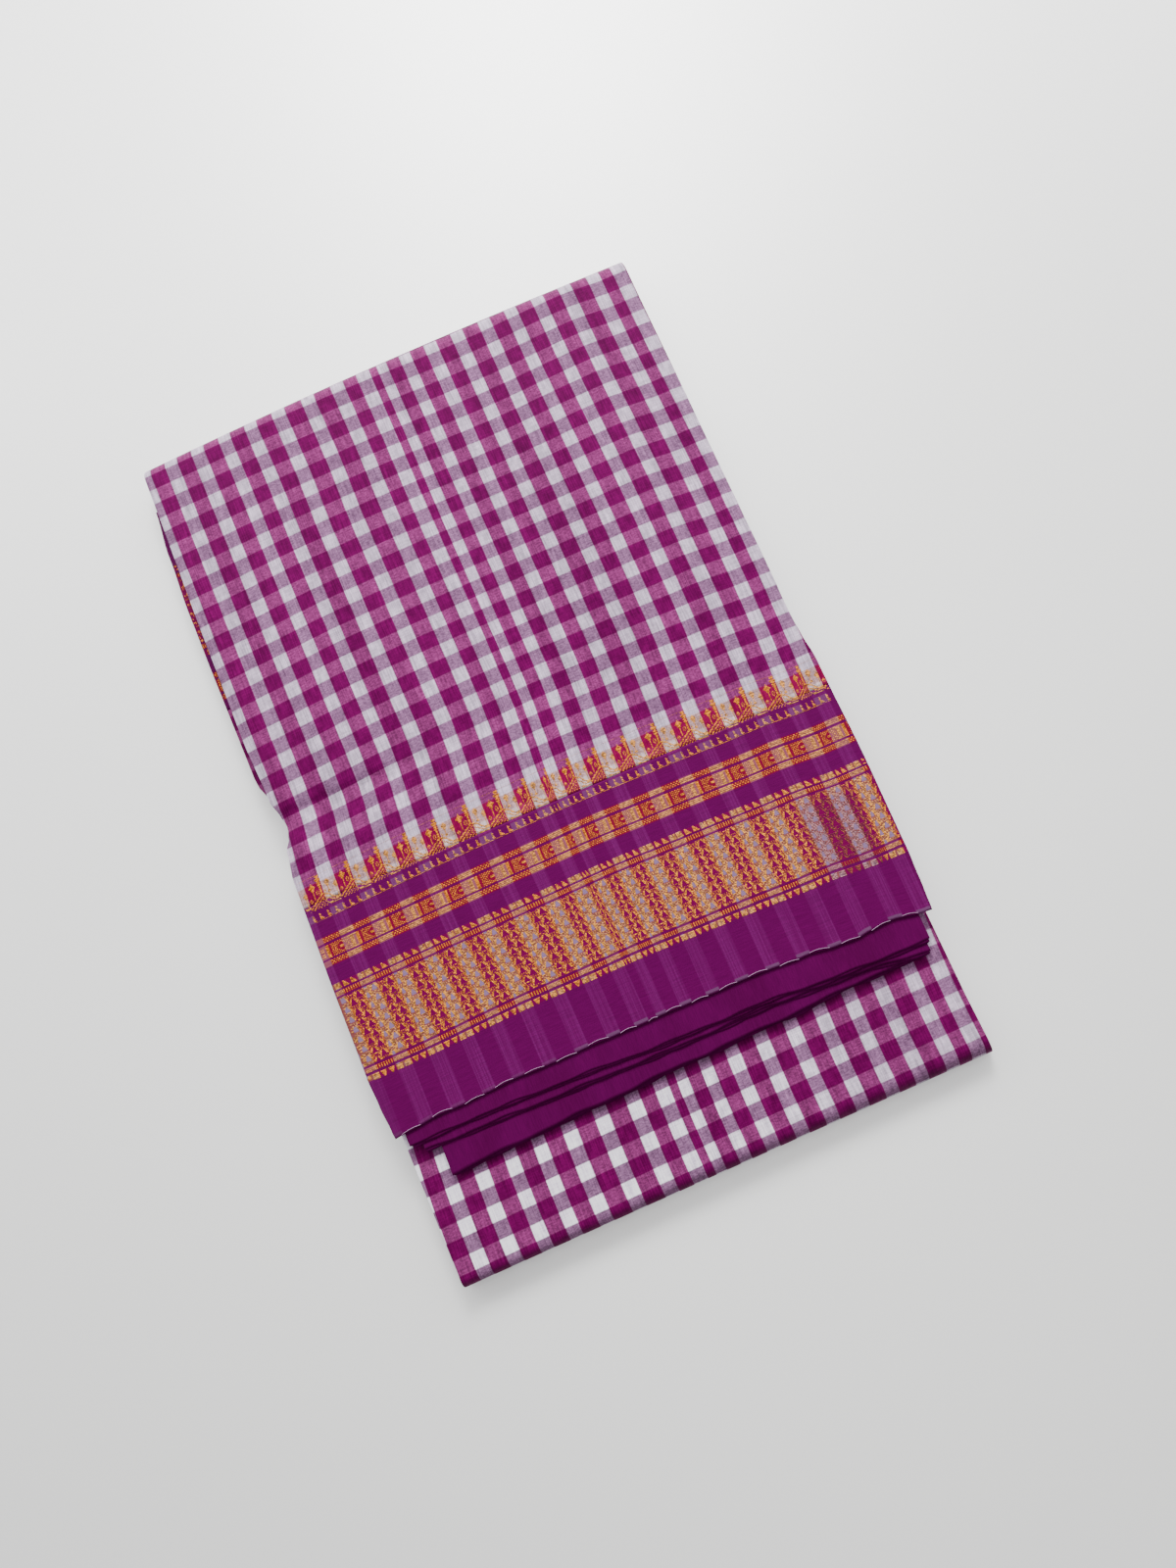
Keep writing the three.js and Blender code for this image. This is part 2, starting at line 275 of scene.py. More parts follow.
def creases(x, y):
    """Two pressed creases of the flap: one in from the notch, one across the right side."""
    below = 23.8 - y
    notch = smooth(below / 2.0) * (1 - smooth((below - 2.0) / 26))
    notch = notch * smooth((-40 - x) / 40) * smooth((x + 137) / 6)
    tuck = np.exp(-(((y - 12.6 - 0.95 * (x + 130.4)) / 1.1) ** 2)) * smooth((-122 - x) / 4)
    notch = notch + 0.6 * tuck
    below = 23.0 + 0.1 * (x - 60) - y
    right = smooth(below / 3.0) * (1 - smooth((below - 3.0) / 20)) * smooth((x - 20) / 60)
    return -0.95 * notch - 0.4 * right


def lay(s, w, depth):
    """Places of the cloth in metres, from millimetres along, across and under the path."""
    s, w, depth = np.broadcast_arrays(*(np.asarray(a, dtype=float) for a in (s, w, depth)))
    give = np.clip(1 - np.maximum(depth - HIDDEN_TOP, 0) / HIDDEN, 0, 1)
    edge = np.minimum(w - side_of(s, 1), side_of(s, 2) - w)
    roll = EDGE_DROP * np.exp(-((edge / EDGE_WIDE) ** 2))
    arch = bow(s, w)

    y = FLAP_START_Y + s + arch
    lift = sum(
        rise * np.exp(-(((w - x0) / wide) ** 2 + ((y - y0) / high) ** 2))
        for x0, y0, wide, high, rise in FLAP_SWELLS
    )
    flat = 1 - smooth((y - PRESSED_Y) / (TOP_FOLD_Y - PRESSED_Y))
    lift = (lift - roll + fine_relief(w, y) + creases(w, y)) * give * flat
    flap = np.stack([w, y, 2 * TOP_RADIUS - depth + lift], -1)

    share = np.clip((s - TOP_START) / (BASE_START - TOP_START), 0, 1)
    r = TOP_RADIUS - depth
    top = np.stack(
        [
            w * np.cos(BASE_TURN * share),
            TOP_FOLD_Y + arch + w * np.sin(BASE_TURN * share) + r * np.sin(math.pi * share),
            TOP_RADIUS + r * np.cos(math.pi * share),
        ],
        -1,
    )
    down = s - BASE_START
    base = np.stack(
        [
            w * math.cos(BASE_TURN) + down * math.sin(BASE_TURN),
            TOP_FOLD_Y + arch + w * math.sin(BASE_TURN) - down,
            depth + 0 * s,
        ],
        -1,
    )
    middle = (LOW_START - BASE_START) * math.sin(BASE_TURN)
    share = np.clip((s - LOW_START) / (TUCKED_START - LOW_START), 0, 1)
    angle = BASE_TURN + (TUCKED_TURN - BASE_TURN) * share
    r = LOW_RADIUS - depth
    low = np.stack(
        [
            middle + w * np.cos(angle),
            LOW_FOLD_Y + w * np.sin(angle) - r * np.sin(math.pi * share),
            LOW_RADIUS - r * np.cos(math.pi * share),
        ],
        -1,
    )
    up = s - TUCKED_START
    x = middle + w * math.cos(TUCKED_TURN) - up * math.sin(TUCKED_TURN)
    y = LOW_FOLD_Y + w * math.sin(TUCKED_TURN) + up
    start = smooth((y - LOW_FOLD_Y) / 12)
    lift = fine_relief(x, y) * start * give
    tucked = np.stack([x, y, 2 * LOW_RADIUS - depth + lift], -1)

    places = np.where((s <= TOP_START)[..., None], flap, top)
    places = np.where((s > BASE_START)[..., None], base, places)
    places = np.where((s > LOW_START)[..., None], low, places)
    places = np.where((s > TUCKED_START)[..., None], tucked, places)
    places[..., 0] += MIDDLE_X
    places[..., 1] += MIDDLE_Y
    return places * MM


# The weave. Purple and white weft stripes cross purple and white warp stripes. Two maps
# carry it: "weave" holds millimetres of cloth, "checks" holds the count of stripes, with
# purple in the first half of each count and white in the second. Rows of the pattern are
# counted down the flap in units, a thousand of them to the strip's width.
UNIT = 0.2625
ROW_ZERO = 815
STRIPE_START = -129.1
# width in millimetres of each purple stripe and of the white one to its right
STRIPES = [
    (8.1, 7.1),
    (8.1, 7.1),
    (8.4, 6.6),
    (7.9, 6.6),
    (8.4, 7.1),
    (9.2, 7.1),
    (9.2, 7.1),
    (7.1, 7.3),
    (3.7, 5.5),
    (6.8, 6.0),
    (7.3, 6.8),
    (7.9, 6.8),
    (8.4, 6.8),
    (8.1, 6.6),
    (8.4, 6.6),
    (8.1, 6.8),
    (8.4, 6.8),
    (6.0, 7.0),
    (8.0, 7.0),
]
# a stripe of each colour to the left of the first, for the side that rolls under
BEYOND = [-15.0, -7.2]
widths = [width for pair in STRIPES for width in pair]
stripe_edges = STRIPE_START + np.concatenate([BEYOND, np.cumsum([0.0] + widths)])
stripe_counts = np.concatenate([[-1.0, -0.5], 0.5 * np.arange(2 * len(STRIPES) + 1)])


def to_count(c):
    """Count of stripes across the cloth, from millimetres."""
    return np.interp(c, stripe_edges, stripe_counts)


def from_count(n):
    """Millimetres across the cloth, from a count of stripes."""
    return np.interp(n, stripe_counts, stripe_edges)


def lean(c, v):
    """How far the weft stripes lean to the right, at a place across and a row down the flap.

    They lean most left of the middle and towards the hem. Over the upper border and by the
    right end of the top fold they swing back to the left.
    """
    u = c / UNIT + 500
    hemward = 16 * np.exp(-(((u - 260) / 330) ** 2)) * (v - 520) / 735
    border = smooth((v - 660) / 280) * (1 - 0.62 * smooth((v - 985) / 280))
    border = border * (13 - 6 * smooth((u - 480) / 300))
    fold = 7.4 * smooth((u - 560) / 300) * (1 - smooth((v - 80) / 420))
    fold = fold - 4 * np.exp(-(((u - 310) / 130) ** 2)) * (1 - smooth((v - 120) / 160))
    return UNIT * (hemward - border - fold)


def droop(c, v):
    """How far the warp stripes sink, in units: most of all towards both sides of the flap."""
    u = c / UNIT + 500
    left = 15 * np.exp(-(((v - 640) / 460) ** 2)) * np.clip(1 - (u - 45) / 320, 0, 1.2) ** 1.2
    left = left + 7 * (1 - smooth((u - 60) / 260)) * smooth((v - 1040) / 200)
    left = left - 2 * np.exp(-(((u - 210) / 80) ** 2)) * (1 - smooth((v - 740) / 120))
    upper = 6 * np.exp(-(((u - 640) / 150) ** 2)) * (1 - smooth((v - 180) / 320))
    lower = 3.5 * np.exp(-(((u - 830) / 90) ** 2)) - 2.5 * np.exp(-(((u - 520) / 90) ** 2))
    return left + upper + lower * smooth((v - 540) / 150) + 8 * smooth((u - 850) / 110)


def row_count(v):
    """Count of warp stripes down the flap, for units of a thousandth of its width."""
    t = (v - 8) / 855
    return (v - 8 - 6 * np.sin(np.pi * np.clip(t, 0, 1))) / 57.0


def flap_weave(s, w):
    """Cloth millimetres and stripe counts on the flap and round the top fold."""
    v = ROW_ZERO - (FLAP_START_Y + s + bow(s, w)) / UNIT
    c = w - lean(w, v)
    v = v - droop(w, v)
    return c, v * UNIT, to_count(c), row_count(v)


LOW_ROW_START = 0.9
LOW_ROW = 14.95
LOW_LEAN = 0.0437
LOW_LEAN_FROM = 60
LOW_SHIFT = 5.2
LOW_NARROWED = 0.98


def low_weave(s, w):
    """The same on the lower panel, where the stripes lean the other way."""
    up = s - TUCKED_START
    leaning = up * LOW_LEAN * np.clip(up / LOW_LEAN_FROM, 0, 1)
    c = (w * math.cos(TUCKED_TURN) - leaning + LOW_SHIFT) / LOW_NARROWED
    return c, -up, to_count(c), (LOW_ROW_START - up) / LOW_ROW


BACK_ROW = 15.0


def back_weave(s, w):
    """The same where nobody sees it: straight stripes."""
    return w, s, to_count(w), s / BACK_ROW


def across(left, right, steps, thick, back):
    """A folded cloth's section: depth and place from its left return to its right one."""
    spread = np.linspace(0, 1, steps)
    top = left + thick / 2 + (right - left - thick) * spread
    bend = np.linspace(0, math.pi, 7)[1:-1]
    out = thick / 2 * np.sin(bend)
    fall = thick / 2 * (1 - np.cos(bend))
    inner = np.array([back, back / 2, 0.0])
    places = np.concatenate(
        [
            left + thick / 2 + inner,
            (left + thick / 2 - out)[::-1],
            top,
            right - thick / 2 + out,
            right - thick / 2 - inner[::-1],
        ]
    )
    depths = np.concatenate([np.full(3, thick), fall[::-1], 0 * top, fall, np.full(3, thick)])
    return places, depths


def add_piece(name, bm, material, *nodes):
    """Writes a bmesh to a new object that rides on the saree's one body."""
    mesh = bpy.data.meshes.new(name)
    bm.to_mesh(mesh)
    bm.free()
    mesh.shade_smooth()
    mesh.materials.append(material)
    piece = bpy.data.objects.new(name, mesh)
    bpy.context.scene.collection.objects.link(piece)
    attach(piece, "root")
    if nodes:
        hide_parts(*nodes)
    return piece


def lay_sheet(name, material, stations, section, weave, hem=None, nodes=(), thick=0.25, depth=0.0):
    """A sheet laid along the path: stations along it, section(s) across it."""
    columns = len(section(stations[0])[0])
    bm = bmesh.new()
    bmesh.ops.create_grid(bm, x_segments=columns - 1, y_segments=len(stations) - 1, size=1.0)
    bm.verts.ensure_lookup_table()
    flat = np.array([v.co[:2] for v in bm.verts])
    i = np.rint((flat[:, 0] + 1) / 2 * (columns - 1)).astype(int)
    j = np.rint((flat[:, 1] + 1) / 2 * (len(stations) - 1)).astype(int)
    sections = [section(s) for s in stations]
    w = np.array([sections[b][0][a] for a, b in zip(i, j)])
    under = np.array([sections[b][1][a] for a, b in zip(i, j)]) + depth
    s = np.array(stations)[j]
    if hem is not None:
        first, last = stations[0], stations[-1]
        s = hem(w) + (s - first) / (last - first) * (last - hem(w))
    places = lay(s, w, under)
    weave_x, weave_y, count_x, count_y = weave(s, w)
    for vert, place in zip(bm.verts, places):
        vert.co = place
    weave_map = bm.loops.layers.uv.new("weave")
    check_map = bm.loops.layers.uv.new("checks")
    for face in bm.faces:
        for loop in face.loops:
            k = loop.vert.index
            loop[weave_map].uv = (weave_x[k], weave_y[k])
            loop[check_map].uv = (count_x[k], count_y[k])
    bm.normal_update()
    piece = add_piece(name, bm, material, *nodes)
    wall = piece.modifiers.new("cloth", "SOLIDIFY")
    wall.thickness = thick * MM
    wall.offset = -1.0
    return piece


# The checked field: one plain weave of silk and cotton. Where white crosses purple the cell
# shows a paler purple or a greyed white. Single yarns are too fine to show, so slubs of a
# few yarns are drawn in their place.
PURPLE = "#4b0037"
PURPLE_ON_WHITE = "#61244e"
WHITE_ON_PURPLE = "#674763"
WHITE = "#998b9c"
# painted light: the brighter white of the cells at the lower left of the bundle
WHITE_PAINTED_LIGHT = "#cfc6d4"
TEMPLE_CRIMSON = "#66052c"
TEMPLE_BEIGE = "#a68a74"
TEMPLE_FROM = 860
TEMPLE_FULL = 863
YARN_PITCH = 0.9
YARN_RELIEF = 0.0003
SHEEN = 0.15

# Settings of the nodes that come back in each cloth
TIMES = {"operation": "MULTIPLY"}
PLUS = {"operation": "ADD"}
MINUS = {"operation": "SUBTRACT"}
OVER = {"operation": "DIVIDE"}
FRACTION = {"operation": "FRACT"}
SOFT_STEP = {"interpolation_type": "SMOOTHSTEP"}
BLEND = {"data_type": "RGBA"}
OVERLAY = {"data_type": "RGBA", "blend_type": "OVERLAY"}


def weave_nodes(tree):
    """The two maps of a cloth: its millimetres, and its counts of stripes."""
    return node(tree, "UVMap", uv_map="weave"), node(tree, "UVMap", uv_map="checks")


def white_stripe(tree, count, soft=0.02):
    """1 where a count lies in its second, white half."""
    part = node(tree, "Math", count, **FRACTION)
    rise = node(tree, "MapRange", part, 0.5 - soft, 0.5 + soft, **SOFT_STEP)
    fall = node(tree, "MapRange", part, 1.0 - 2 * soft, 1.0, **SOFT_STEP)
    return node(tree, "Math", rise, fall, **MINUS)


def streaks(tree, weave, along, over, detail=3.0, seed=0.0):
    """Noise drawn out along one set of yarns; along and over are sizes in millimetres."""
    size = (1 / along, 1 / over, 1.0)
    scaled = node(tree, "Mapping", {"Vector": weave, "Scale": size, "Location": (seed, seed * 1.7, 0)})
    return node(tree, "TexNoise", {"Vector": scaled, "Scale": 1.0, "Detail": detail, "Roughness": 0.6})


def tones(tree, noise, low, high, dark, light):
    """A noise as a tone between two colours; low and high set how sharply it turns."""
    rise = node(tree, "MapRange", noise, low, high, **SOFT_STEP)
    return node(tree, "Mix", rise, dark, light, **BLEND)


def cloth_shader(tree, colour, weave, rough, bump_strength):
    """Plain weave relief and a soft silk sheen over a colour."""
    fine = node(tree, "Mapping", {"Vector": weave, "Scale": (1 / YARN_PITCH, 1 / YARN_PITCH, 1.0)})
    knots = node(tree, "TexNoise", {"Vector": fine, "Scale": 1.6, "Detail": 3.0})
    across_yarns = streaks(tree, weave, 0.7, 6.0, seed=3.0)
    height = node(tree, "Math", node(tree, "Math", knots, 0.5, **TIMES), across_yarns, **PLUS)
    bump = node(tree, "Bump", {"Height": height, "Strength": bump_strength, "Distance": YARN_RELIEF})
    looks = {
        "Base Color": colour,
        "Roughness": rough,
        "Sheen Weight": SHEEN,
        "Sheen Roughness": 0.45,
        "Sheen Tint": colour,
        "Specular IOR Level": 0.2,
        "Specular Tint": colour,
        "Normal": bump,
    }
    node(tree, "OutputMaterial", {"Surface": node(tree, "BsdfPrincipled", looks)})


# Cotton and silk in plain weave: matt cells with uneven yarns and a faint sheen
checked, tree = new_material("checked_cotton_silk")
weave, checks = weave_nodes(tree)
count_across, count_down, _ = node(tree, "SeparateXYZ", checks).node.outputs
weft_white = white_stripe(tree, count_across)
warp_white = white_stripe(tree, count_down)
on_purple = node(tree, "Mix", warp_white, PURPLE, PURPLE_ON_WHITE, **BLEND)

# Painted light: the white cells are painted brighter towards the lower left of the bundle.
spot_x, spot_y, _ = node(tree, "SeparateXYZ", node(tree, "TexCoord").node.outputs["Object"]).node.outputs
low = node(tree, "MapRange", spot_y, -0.13, -0.16, **SOFT_STEP)
left_part = node(tree, "MapRange", spot_x, 0.12, -0.06, **SOFT_STEP)
painted_light_lower_left = node(tree, "Math", low, left_part, **TIMES)
white = node(tree, "Mix", painted_light_lower_left, WHITE, WHITE_PAINTED_LIGHT, **BLEND)
on_white = node(tree, "Mix", warp_white, WHITE_ON_PURPLE, white, **BLEND)
cells = node(tree, "Mix", weft_white, on_purple, on_white, **BLEND)

# Under the temple figures the ground is crimson and beige.
cloth_y = node(tree, "SeparateXYZ", weave).node.outputs[1]
temple_row = node(tree, "MapRange", cloth_y, TEMPLE_FROM * UNIT, TEMPLE_FULL * UNIT, **SOFT_STEP)
temple_ground = node(tree, "Mix", weft_white, TEMPLE_CRIMSON, TEMPLE_BEIGE, **BLEND)
wash = node(tree, "Math", 0.75, node(tree, "Math", weft_white, 0.35, **TIMES), **MINUS)
wash = node(tree, "Math", temple_row, wash, **TIMES)
cells = node(tree, "Mix", wash, cells, temple_ground, **BLEND)

# Uneven dye in patches and along the stripes
patchy = streaks(tree, weave, 4.0, 5.5, detail=4.0, seed=4.0)
patchy = node(tree, "MapRange", patchy, 0.32, 0.68, **SOFT_STEP)
stripy = streaks(tree, weave, 11.0, 260.0, detail=1.0, seed=7.0)
stripy = node(tree, "MapRange", stripy, 0.3, 0.7, **SOFT_STEP)
patchy = node(tree, "Math", patchy, 0.6, **TIMES)
stripy = node(tree, "Math", stripy, 0.4, **TIMES)
mottle = node(tree, "Math", patchy, stripy, **PLUS)
mottle = node(tree, "Mix", mottle, "#9c9c9c", "#e0e0e0", **BLEND)
cells = node(tree, "Mix", 0.6, cells, mottle, **OVERLAY)

# Grain of the two colours, most of all where white crosses purple
grain = tones(tree, streaks(tree, weave, 1.6, 0.7, detail=2.0, seed=15.0), 0.35, 0.65, "#9a9a9a", "#e2e2e2")
either = node(tree, "Math", weft_white, warp_white, **PLUS)
both = node(tree, "Math", weft_white, warp_white, **TIMES)
crossed = node(tree, "Math", either, node(tree, "Math", both, 2.0, **TIMES), **MINUS)
crossed = node(tree, "Math", node(tree, "Math", crossed, 0.45, **TIMES), 0.15, **PLUS)
cells = node(tree, "Mix", crossed, cells, grain, **OVERLAY)

# Slubs of the weft and of the warp
weft_light = tones(tree, streaks(tree, weave, 0.55, 14.0, seed=1.0), 0.3, 0.7, "#808080", "#ffffff")
warp_light = tones(tree, streaks(tree, weave, 10.0, 0.6, seed=2.0), 0.25, 0.75, "#9a9a9a", "#ececec")
cells = node(tree, "Mix", 0.35, cells, weft_light, **OVERLAY)
cells = node(tree, "Mix", 0.3, cells, warp_light, **OVERLAY)
cloth_shader(tree, cells, weave, 0.7, 0.35)

field_stations = np.concatenate(
    [
        np.linspace(FLAP_JOIN + JOIN_GAP, TOP_START, 140, endpoint=False),
        np.linspace(TOP_START, BASE_START, 26, endpoint=False),
        np.linspace(BASE_START, BASE_START + PAST_FOLD, 5),
    ]
)


OUTER_THICK = 0.9
OUTER_RETURN = 5.0


def outer_section(steps):
    """The outer cloth's section: its sides roll round and go a little way back inside."""
    return lambda s: across(
        float(side_of(s, 1)), float(side_of(s, 2)), steps, OUTER_THICK, OUTER_RETURN
    )


flap_field = lay_sheet(
    "flap_field", checked, field_stations, outer_section(165), flap_weave, nodes=["front_field"]
)

back_cloth = lay_sheet(
    "back_cloth",
    checked,
    np.linspace(BASE_START + PAST_FOLD, LOW_START - PAST_FOLD, 90),
    outer_section(50),
    back_weave,
    nodes=["back_field"],
)

low_stations = np.concatenate(
    [
        np.linspace(LOW_START - PAST_FOLD, LOW_START, 6, endpoint=False),
        np.linspace(LOW_START, TUCKED_START, 22, endpoint=False),
        np.linspace(TUCKED_START, TUCKED_START + SHOWN_LOW, 56, endpoint=False),
        np.linspace(TUCKED_START + SHOWN_LOW, TUCKED_JOIN, 40),
    ]
)
lower_panel = lay_sheet(
    "lower_panel", checked, low_stations, outer_section(165), low_weave, nodes=["lower_field"]
)


# The border: purple silk warp, joined to the field 112 mm above the hem. White weft shows
# through as faint streaks, and the ground under the gold is crimson, or rose on white.
BORDER = "#4a003c"
BORDER_STREAK = "#631c5a"
CRIMSON = "#640828"
LATTICE_PURPLE = "#5a0038"
LAVENDER = "#6e5672"
LATTICE_ROSE = "#6c3838"
BAND_ROSE = "#743c4a"
SELVEDGE_GREY = "#543050"
# Rows of the bands in units down the flap, each from and to
TOOTH_ROW = (915, 929)
GOLD_ROWS = [(960, 971), (975, 1000), (1003, 1014), (1061, 1070), (1202, 1210)]
LATTICE_ROWS = [(1047, 1058), (1073, 1199), (1215, 1225)]
BLOCK_ROW = (1325, 1331)
# Lavender cells of the lattice: from and to in a count of stripes, and first row
LAVENDER_CELLS = [(0.53, 0.63, 1101.7), (0.77, 0.93, 1110.7)]
LAVENDER_DUTY = 0.55
TRIANGLE_PITCH = 18


def between(tree, value, low, high, soft=0.7):
    """1 where a value lies between two others, with soft edges."""
    rise = node(tree, "MapRange", value, low - soft, low + soft, **SOFT_STEP)
    fall = node(tree, "MapRange", value, high - soft, high + soft, **SOFT_STEP)
    return node(tree, "Math", rise, fall, **MINUS)


# Filament silk in plain weave: deeper and a little glossier than the field
border_silk, tree = new_material("purple_border_silk")
weave, checks = weave_nodes(tree)
count_across = node(tree, "SeparateXYZ", checks).node.outputs[0]
cloth_y = node(tree, "SeparateXYZ", weave).node.outputs[1]
weft_white = white_stripe(tree, count_across)
down = node(tree, "Math", cloth_y, UNIT, **OVER)

# Broken lines of white weft
lines = streaks(tree, weave, 0.6, 90.0, detail=2.0, seed=5.0)
lines = node(tree, "MapRange", lines, 0.4, 0.65, **SOFT_STEP)
dashes = node(tree, "MapRange", streaks(tree, weave, 0.6, 1.2, seed=6.0), 0.3, 0.6, **SOFT_STEP)
dashes = node(tree, "Math", node(tree, "Math", dashes, 0.5, **TIMES), 0.5, **PLUS)
lines = node(tree, "Math", lines, dashes, **TIMES)
lines = node(tree, "Math", node(tree, "Math", lines, 0.35, **TIMES), 0.12, **PLUS)
silk = node(tree, "Mix", node(tree, "Math", weft_white, lines, **TIMES), BORDER, BORDER_STREAK, **BLEND)

# Grounds of the gold bands
teeth_white = node(tree, "Math", between(tree, down, *TOOTH_ROW), weft_white, **TIMES)
silk = node(tree, "Mix", node(tree, "Math", teeth_white, 0.2, **TIMES), silk, LAVENDER, **BLEND)
gold_ground = node(tree, "Mix", weft_white, CRIMSON, BAND_ROSE, **BLEND)
in_bands = 0.0
for first, last in GOLD_ROWS:
    in_bands = node(tree, "Math", between(tree, down, first, last), in_bands, **PLUS)
silk = node(tree, "Mix", in_bands, silk, gold_ground, **BLEND)

# The lattice's ground, with a lavender cell under each triangle of the white stripes
part = node(tree, "Math", count_across, **FRACTION)
lavender_cells = 0.0
for first, last, first_row in LAVENDER_CELLS:
    row = node(tree, "Math", node(tree, "Math", down, first_row, **MINUS), TRIANGLE_PITCH, **OVER)
    row = node(tree, "Math", row, **FRACTION)
    in_row = between(tree, row, 0.0, LAVENDER_DUTY, 0.05)
    cell = node(tree, "Math", in_row, between(tree, part, first, last, 0.015), **TIMES)
    lavender_cells = node(tree, "Math", cell, lavender_cells, **PLUS)
lattice_white = node(tree, "Mix", lavender_cells, LATTICE_ROSE, LAVENDER, **BLEND)
lattice_ground = node(tree, "Mix", weft_white, LATTICE_PURPLE, lattice_white, **BLEND)
for first, last in LATTICE_ROWS:
    silk = node(tree, "Mix", between(tree, down, first, last), silk, lattice_ground, **BLEND)

# Pale blocks along the selvedge, faint at the left
blocks = node(tree, "Math", between(tree, down, *BLOCK_ROW), weft_white, **TIMES)
to_right = node(tree, "MapRange", count_across, 4.5, 6.5, **SOFT_STEP)
to_right = node(tree, "Math", node(tree, "Math", to_right, 0.7, **TIMES), 0.3, **PLUS)
blocks = node(tree, "Math", blocks, to_right, **TIMES)
silk = node(tree, "Mix", blocks, silk, SELVEDGE_GREY, **BLEND)
silk_light = tones(tree, streaks(tree, weave, 9.0, 0.5, seed=6.0), 0.25, 0.75, "#909090", "#f0f0f0")
silk = node(tree, "Mix", 0.25, silk, silk_light, **OVERLAY)
cloth_shader(tree, silk, weave, 0.55, 0.3)

# across and y of the flap's hem
FLAP_HEM = [
    (-134, -138.6),
    (-127, -138.0),
    (-110, -136.5),
    (-66, -134.9),
    (0, -134.4),
    (42, -134.2),
    (71, -135.0),
    (86, -136.6),
    (95, -137.1),
    (102, -136.0),
    (112, -135.4),
    (129, -138.0),
    (133, -138.2),
]


def hem_line(table, wander, seed):
    """The hem as places along the path, with the small waves of a woven edge."""

    def line(w):
        waves = wander * (np.sin(w / 6.3 + seed) + 0.6 * np.sin(w / 2.9 + 2.1 * seed))
        return eased(w, table, 1) - FLAP_START_Y + waves

    return line


# First row of the plain hem band, and the row of the hem, in units down the flap
BAND_START = 1228.0
HEM_V = 1333.0
WANDER = 0.12
WANDER_SEED = 0.4


def border_weave(s, w):
    """The flap's weave, drawn in or out over the hem band so that it ends on the hem."""
    c, y, count, row = flap_weave(s, w)
    v = y / UNIT
    hem = ROW_ZERO - eased(w, FLAP_HEM, 1) / UNIT - droop(w, HEM_V)
    drawn_in = BAND_START + (v - BAND_START) * (HEM_V - BAND_START) / (hem - BAND_START)
    v = np.where(v > BAND_START, drawn_in, v)
    return c, v * UNIT, count, row


flap_border = lay_sheet(
    "flap_border",
    border_silk,
    np.linspace(0, FLAP_JOIN - JOIN_GAP, 96),
    outer_section(190),
    border_weave,
    hem=hem_line(FLAP_HEM, WANDER, WANDER_SEED),
    nodes=["front_border"],
)


# Gold zari: threads that float over the silk along the warp, in runs. Each row of a band is
# one thread. A motif says where its runs lie, in units across one period of the stripes,
# 33 of purple and then 27 of white. The temple row along the top is given as a chart.
PURPLE_WIDE = 33.0
PERIOD = 60.0
ZARI_MARGIN = 0.6
ZARI = "#c47a00"
ZARI_ON_WHITE = "#b4781a"
# painted shade: darker copies of the gold, mixed in away from the painted highlight
ZARI_PAINTED_SHADE = "#8c4606"
ZARI_PAINTED_SHADE_ON_WHITE = "#8a5c3a"
# painted shade of the gold where the flap slopes down at its right side
ZARI_SLOPE_SHADE = "#42121c"
ZARI_SLOPE_SHADE_ON_WHITE = "#6a4a5a"

# part of the cloth's width and first rows where painted shade darkens the gold, for the flap's right side
# that slopes down away from the light
SLOPE_SHADE_FROM = 96
SLOPE_SHADE_TO = 123
SLOPE_SHADE_ROWS = (1060, 1100)

# Gilt foil wound on silk: a warm gold with painted glints thread by thread, a painted highlight beside the
# lattice's triangles and painted shade in its net
zari_metal, tree = new_material("gold_zari_thread")
weave, checks = weave_nodes(tree)
count_across, painted_highlight, _ = node(tree, "SeparateXYZ", checks).node.outputs
cloth_x, cloth_y, _ = node(tree, "SeparateXYZ", weave).node.outputs
weft_white = white_stripe(tree, count_across)
gold = node(tree, "Mix", weft_white, ZARI, ZARI_ON_WHITE, **BLEND)
# Painted highlight and shade: lit and shaded copies of the gold, mixed by the painted highlight level that
# the second map carries
painted_shade_gold = node(tree, "Mix", weft_white, ZARI_PAINTED_SHADE, ZARI_PAINTED_SHADE_ON_WHITE, **BLEND)
gold = node(tree, "Mix", painted_highlight, painted_shade_gold, gold, **BLEND)
# Painted shade: the gold on the flap's right side, where the flap slopes down, is darkened
slope_shade_rows = node(tree, "MapRange", cloth_y, SLOPE_SHADE_ROWS[0] * UNIT, SLOPE_SHADE_ROWS[1] * UNIT, **SOFT_STEP)
slope_shade_mask = node(tree, "Math", between(tree, cloth_x, SLOPE_SHADE_FROM, SLOPE_SHADE_TO, 2.5), slope_shade_rows, **TIMES)
slope_shade_gold = node(tree, "Mix", weft_white, ZARI_SLOPE_SHADE, ZARI_SLOPE_SHADE_ON_WHITE, **BLEND)
gold = node(tree, "Mix", node(tree, "Math", slope_shade_mask, 0.85, **TIMES), gold, slope_shade_gold, **BLEND)
# Painted glints: light and dark spots of noise laid over the gold
painted_glint = tones(tree, streaks(tree, weave, 1.5, 0.8, detail=2.0, seed=12.0), 0.35, 0.65, "#6c6c6c", "#fafafa")
gold = node(tree, "Mix", 0.9, gold, painted_glint, **OVERLAY)
looks = {"Base Color": gold, "Metallic": 0.15, "Roughness": 0.45, "Specular IOR Level": 0.1}
node(tree, "OutputMaterial", {"Surface": node(tree, "BsdfPrincipled", looks)})

